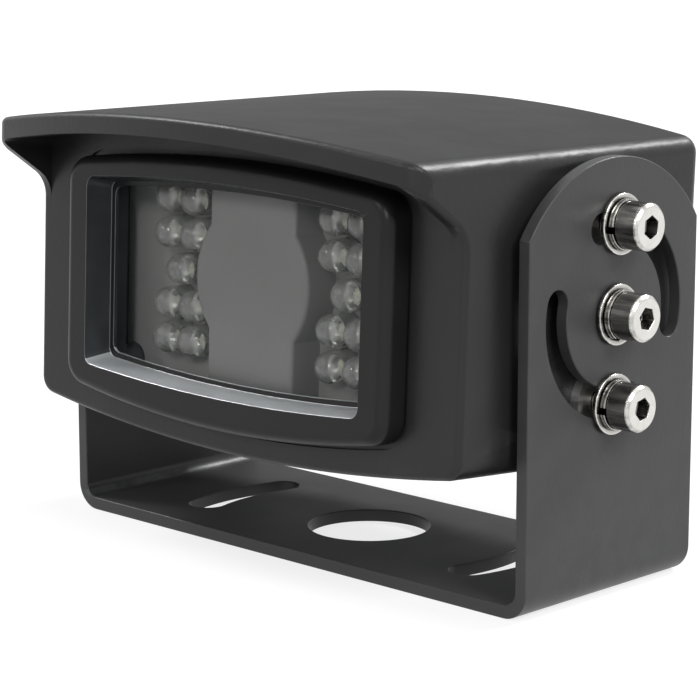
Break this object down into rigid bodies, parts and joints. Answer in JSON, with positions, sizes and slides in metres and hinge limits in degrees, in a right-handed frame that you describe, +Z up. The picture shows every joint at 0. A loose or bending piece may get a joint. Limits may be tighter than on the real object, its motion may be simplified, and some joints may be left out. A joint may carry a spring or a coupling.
{
  "type": "led illuminator",
  "caption": "Box-shaped white light LED lamp head with a visor and a framed window, tilting in a folded U bracket.",
  "frame": {"origin": "middle of the cable hole, on the underside of the bracket's base", "axes": "+Z up from the mounting surface, +X along the tilt axis, the lamp looks along -Y"},
  "size_m": [0.1098, 0.0786, 0.0701],
  "materials": {
    "bracket_coat": "satin",
    "shell_coat": "satin",
    "bezel_coat": "satin",
    "cover_coat": "satin",
    "clear_glass": "polished",
    "sealing_rubber": "matte",
    "grey_plate": "satin",
    "grey_moulding": "satin",
    "lamp_board_mask": "satin",
    "driver_board_mask": "satin",
    "zinc_screws": "satin",
    "stainless": "polished",
    "brass_spacers": "satin",
    "spacer_aluminium": "satin",
    "ferrite": "matte",
    "capacitor_sleeve": "gloss",
    "white_nylon": "matte",
    "gland_nylon": "matte",
    "lamp_resin": "clear"
  },
  "bodies": {
    "bracket": {"mounting_bracket": "bracket_coat"},
    "housing": {"housing_shell": "shell_coat", "window_bezel": "bezel_coat", "window_glass": "clear_glass", "window_gasket": "sealing_rubber", "led_holder": "grey_plate", "led_board": "lamp_board_mask", "centre_cover": "grey_moulding", "board_screws": "zinc_screws", "board_spacers": "brass_spacers", "driver_board": "driver_board_mask", "driver_screws": "zinc_screws", "power_inductor": "ferrite", "smoothing_capacitor": "capacitor_sleeve", "supply_header": "white_nylon", "rear_cover": "cover_coat", "rear_gasket": "sealing_rubber", "rear_cover_screws": "stainless", "gland_body": "gland_nylon", "gland_seal": "sealing_rubber", "gland_cap": "gland_nylon", "gland_nut": "gland_nylon", "pivot_screws": "stainless", "lock_screws": "stainless", "flat_washers": "stainless", "spring_washers": "stainless", "ear_spacers": "spacer_aluminium", "led_left_1": "lamp_resin", "led_left_2": "lamp_resin", "led_left_3": "lamp_resin", "led_left_4": "lamp_resin", "led_left_5": "lamp_resin", "led_left_6": "lamp_resin", "led_left_7": "lamp_resin", "led_left_8": "lamp_resin", "led_left_9": "lamp_resin", "led_right_1": "lamp_resin", "led_right_2": "lamp_resin", "led_right_3": "lamp_resin", "led_right_4": "lamp_resin", "led_right_5": "lamp_resin", "led_right_6": "lamp_resin", "led_right_7": "lamp_resin", "led_right_8": "lamp_resin", "led_right_9": "lamp_resin"}
  },
  "joints": [
    {"name": "tilt", "type": "hinge", "parent": "bracket", "child": "housing", "pos_m": [0, 0, 0.0423], "axis": [-1, 0, 0], "range_deg": [-17, 99]}
  ]
}
